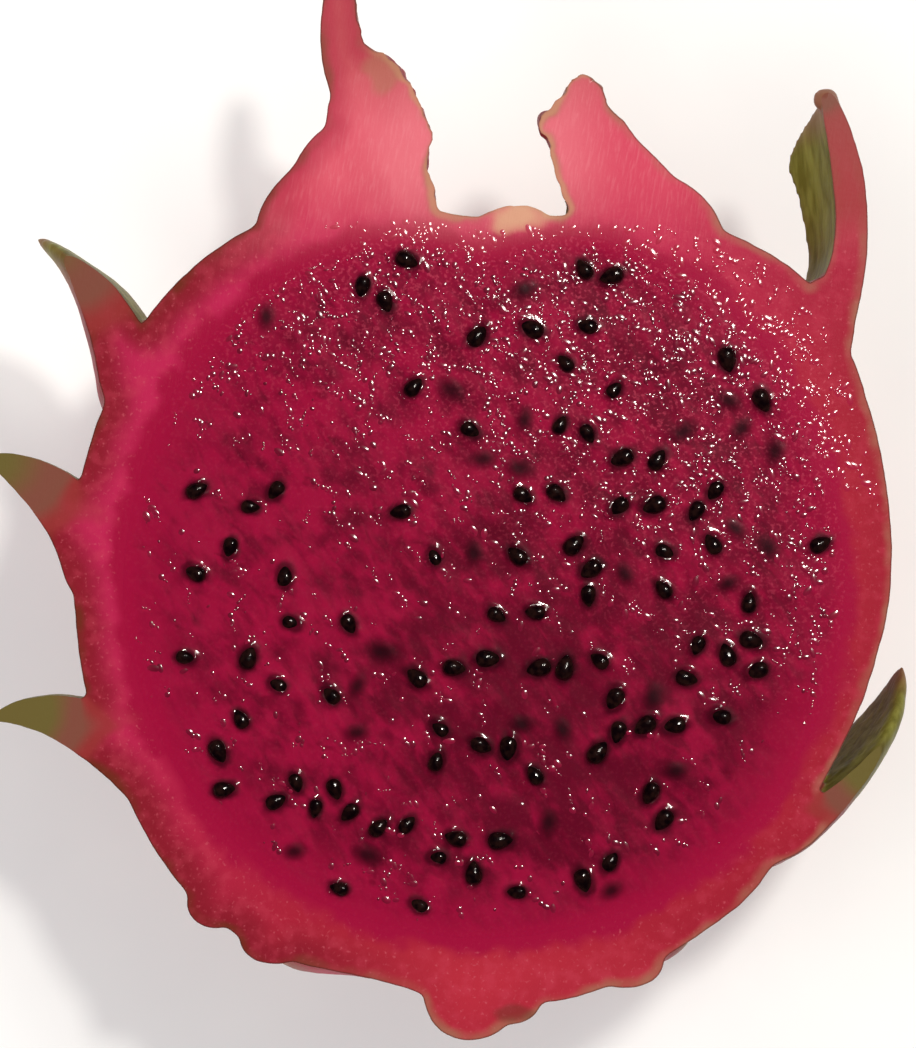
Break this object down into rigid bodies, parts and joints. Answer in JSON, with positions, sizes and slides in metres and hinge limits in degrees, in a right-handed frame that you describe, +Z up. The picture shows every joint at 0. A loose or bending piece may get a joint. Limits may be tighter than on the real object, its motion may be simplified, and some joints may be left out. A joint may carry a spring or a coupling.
{
  "type": "halved dragon fruit",
  "caption": "Half of a red-fleshed dragon fruit cut lengthwise: seeded crimson flesh in a pink peel with leafy green-tipped scales, lying on its round back.",
  "frame": {"origin": "on the small flat resting spot on the round back, below the middle of the cut face", "axes": "+Z up, out of the cut face; +Y along the fruit's axis from the stem end to the blossom end; +X to the right on the cut face seen from above"},
  "size_m": [0.1118, 0.1284, 0.0489],
  "materials": {
    "peel": "leathery pink-red fruit peel, satin, green at the scale tips",
    "flesh": "wet crimson fruit flesh with black seeds"
  },
  "bodies": {
    "root": {"peel": "peel", "flesh": "flesh"}
  },
  "joints": []
}
